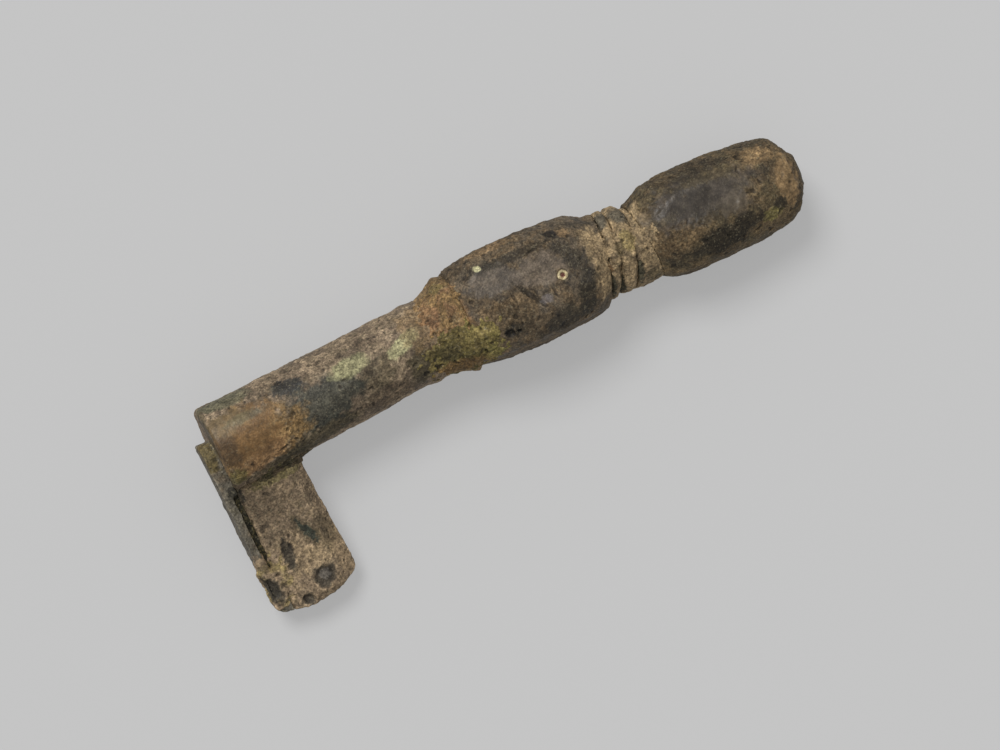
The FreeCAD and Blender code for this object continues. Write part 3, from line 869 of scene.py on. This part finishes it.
def grow_crust(name, pieces, place, shades, stains=()):
    """A crust and its finish: one shade all over, one in patches, one in specks, and stains."""
    piece = crust_over(name, pieces, place)
    main_shade, patch_shade, speck_shade = shades
    crust_finish = Patina("patina_of_" + name, main_shade, 0.8)
    crust_finish.mottle(1.4, 0.45, patch_shade, 0.7)
    crust_finish.mottle(0.5, 0.3, speck_shade, 0.35, 3.0)
    crust_finish.mottle(0.4, 0.25, dark_olive, 0.4, 5.0)
    for stain_place, stain_shade in stains:
        crust_finish.stain(stain_place, stain_shade, 0.6)
    crust_finish.stain(lens_hollow, dark_hollow, 0.9)
    put_in_place(piece, crust_finish.finish())


grow_crust(
    "neck_crust",
    (shank, collar, grip),
    mark("grip_collar", (437, 306), (23, 32), 24, depth=2.5),
    (neck_tan, warm_brown, dull_brown),
    stains=(
        (mark("grip_collar", (436, 286), (12, 9), 20), khaki),
        (mark("grip_collar", (428, 318), (11, 14), 20), warm_brown),
    ),
)
grow_crust(
    "olive_crust",
    (shank, collar, grip),
    mark("grip_collar", (466, 351), (40, 27), 24, depth=4.5),
    (olive_yellow, olive_brown, khaki),
    stains=(
        (mark("grip_collar", (464, 364), (38, 7), 20), burnt_orange),
        (mark("grip_collar", (450, 352), (12, 9), 20), dark_olive),
        (mark("baluster_grip", (496, 350), (14, 8), 25), dull_olive),
        (mark("baluster_grip", (480, 333), (13, 5), 20), khaki),
    ),
)
grow_crust(
    "root_crust",
    (shank, bit),
    mark("bit_block", (278, 467), (36, 7), 27, depth=2.5),
    (dark_olive, dull_brown, dull_olive),
)
grow_crust(
    "foot_crust",
    (bit, plate),
    mark("bit_end_plate", (274, 580), (17, 32), 25, depth=2.5),
    (sandy_tan, khaki, pale_sand),
)
grow_crust(
    "ring_crust",
    (grip, bead_rings[0], bead_rings[1], waist, knob),
    mark("bead_ring_2", (624, 247), (36, 17), 25, depth=2.5),
    (ring_sand, dull_brown, sand),
    stains=(
        (mark("bead_ring_2", (611, 258), (12, 10), 20), rosy_tan),
        (mark("bead_ring_2", (627, 240), (7, 12), 20), khaki),
        (mark("bead_ring_2", (620, 249), (5, 8), 20), dark_olive),
        (mark("waist_ring", (641, 262), (9, 10), 20), dull_brown),
        (mark("bead_ring_1", (612, 276), (12, 4), -75), burnt_orange),
        # Painted shade in the lower groove.
        (mark("bead_ring_2", (621, 272), (14, 4), -75), groove_shade_green),
    ),
)


# Floor and light
# A plain pale table, a soft lamp from the upper left of the view and an even sky. The
# table looks partly lit from within, which keeps the shadow as faint as under soft boxes.
table_grey = colour(196, 196, 196)
table_size = 4.0
lit_share = 0.42
lamp_in_view = Vector((-0.3, 0.4, 0.87))
lamp_width = math.radians(24)
lamp_share = 0.58
sky_share = 0.44

bpy.ops.mesh.primitive_plane_add(size=table_size, location=(0, 0, 0))
floor = bpy.context.object
floor.name = "table"
floor_finish = bpy.data.materials.new("table_top")
floor_finish.use_nodes = True
floor_tree = floor_finish.node_tree
floor_shader = floor_tree.nodes["Principled BSDF"]
floor_shader.inputs["Base Color"].default_value = table_grey
floor_shader.inputs["Roughness"].default_value = 1.0
floor_shader.inputs["Specular IOR Level"].default_value = 0.0
own_glow = floor_tree.nodes.new("ShaderNodeEmission")
own_glow.inputs["Color"].default_value = table_grey
seen_floor = floor_tree.nodes.new("ShaderNodeMixShader")
camera_ray = floor_tree.nodes.new("ShaderNodeLightPath")
glow_share = floor_tree.nodes.new("ShaderNodeMath")
glow_share.operation = "MULTIPLY"
glow_share.inputs[1].default_value = 1 - lit_share
floor_tree.links.new(camera_ray.outputs["Is Camera Ray"], glow_share.inputs[0])
floor_tree.links.new(glow_share.outputs[0], seen_floor.inputs[0])
floor_tree.links.new(floor_shader.outputs[0], seen_floor.inputs[1])
floor_tree.links.new(own_glow.outputs[0], seen_floor.inputs[2])
floor_tree.links.new(seen_floor.outputs[0], floor_tree.nodes["Material Output"].inputs["Surface"])
floor.data.materials.append(floor_finish)

lamp_direction = (view_turn @ lamp_in_view).normalized()
lamp_data = bpy.data.lights.new("soft_lamp", "SUN")
lamp_data.angle = lamp_width
lamp_data.energy = lamp_share * math.pi / lamp_direction.z
lamp = bpy.data.objects.new("soft_lamp", lamp_data)
lamp.rotation_euler = lamp_direction.to_track_quat("Z", "Y").to_euler()
scene.collection.objects.link(lamp)

# The view and the reflections show the colour of the table, and the sky lights the rest.
world = bpy.data.worlds.new("studio")
scene.world = world
world.use_nodes = True
sky_tree = world.node_tree
rays = sky_tree.nodes.new("ShaderNodeLightPath")
shown = rays.outputs["Is Camera Ray"]
for kind_of_ray in ("Is Glossy Ray", "Is Transmission Ray"):
    either = sky_tree.nodes.new("ShaderNodeMath")
    either.operation = "MAXIMUM"
    sky_tree.links.new(shown, either.inputs[0])
    sky_tree.links.new(rays.outputs[kind_of_ray], either.inputs[1])
    shown = either.outputs[0]
backdrop = sky_tree.nodes.new("ShaderNodeMix")
backdrop.data_type = "RGBA"
backdrop.inputs["A"].default_value = (sky_share, sky_share, sky_share, 1.0)
backdrop.inputs["B"].default_value = table_grey
sky_tree.links.new(shown, backdrop.inputs["Factor"])
sky_tree.links.new(backdrop.outputs["Result"], sky_tree.nodes["Background"].inputs["Color"])
scene.view_settings.view_transform = "Standard"
